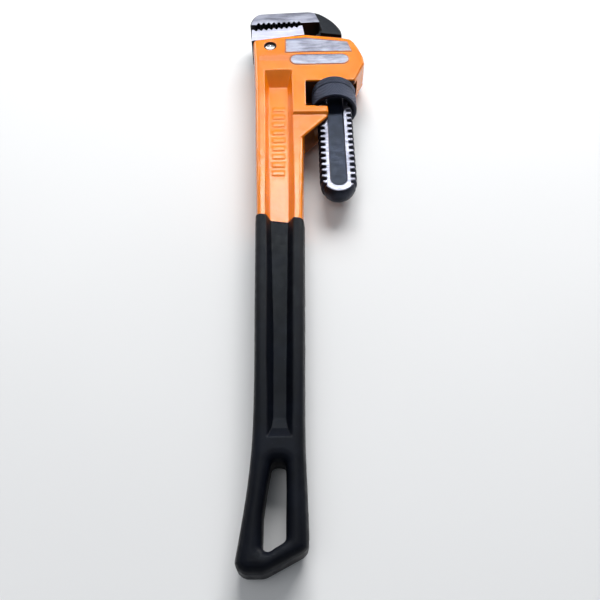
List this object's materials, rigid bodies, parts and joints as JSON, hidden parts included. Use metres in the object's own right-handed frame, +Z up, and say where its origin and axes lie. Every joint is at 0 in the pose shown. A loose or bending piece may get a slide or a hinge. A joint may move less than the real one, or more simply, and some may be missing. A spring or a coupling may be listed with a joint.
{
  "type": "pipe wrench",
  "caption": "Straight adjustable pipe wrench: forged I-beam handle with dipped grip and hang slot, fixed heel jaw, and a toothed hook jaw moved by a knurled nut.",
  "frame": {"origin": "bottom centre of the part's box, lying flat on its side with the jaws nearly closed", "axes": "+Y along the handle towards the jaws, +X towards the side that the adjusting nut is on, +Z up out of the wrench's flat side"},
  "size_m": [0.0808, 0.398, 0.0306],
  "materials": {
    "enamel": "glossy orange enamel over a forged casting, bare ground steel on the pads",
    "grip": "satin black dipped vinyl",
    "bright_steel": "ground bright steel",
    "pin_steel": "polished steel",
    "spring_steel": "blued spring steel",
    "black_oxide": "black oxide with a knurled band",
    "black_oxide_jaw": "black oxide, with the jaw's sides and the shank's border ground bright"
  },
  "bodies": {
    "handle": {"handle": "enamel", "grip_coat": "grip", "heel_jaw": "bright_steel", "heel_jaw_pin": "pin_steel", "coil_spring": "spring_steel"},
    "rocker": {"flat_spring": "spring_steel"},
    "nut": {"adjusting_nut": "black_oxide"},
    "hook": {"hook_jaw": "black_oxide_jaw"}
  },
  "joints": [
    {"name": "jaw_rock", "type": "hinge", "parent": "handle", "child": "rocker", "pos_m": [0.01835, 0.1085, 0.0153], "axis": [0, 0, 1], "range_deg": [-2, 1], "stiffness_Nm_per_rad": 4},
    {"name": "nut_spin", "type": "hinge", "parent": "rocker", "child": "nut", "pos_m": [0.01835, 0.1085, 0.0153], "axis": [0, 1, 0], "range_deg": [-3821, 412]},
    {"name": "jaw_slide", "type": "slide", "parent": "rocker", "child": "hook", "axis": [0, 1, 0], "range_m": [-0.0056, 0.052]}
  ],
  "couplings": [
    {"joint": "nut_spin", "follows": "jaw_slide", "rad_per_m": -1282.3}
  ]
}
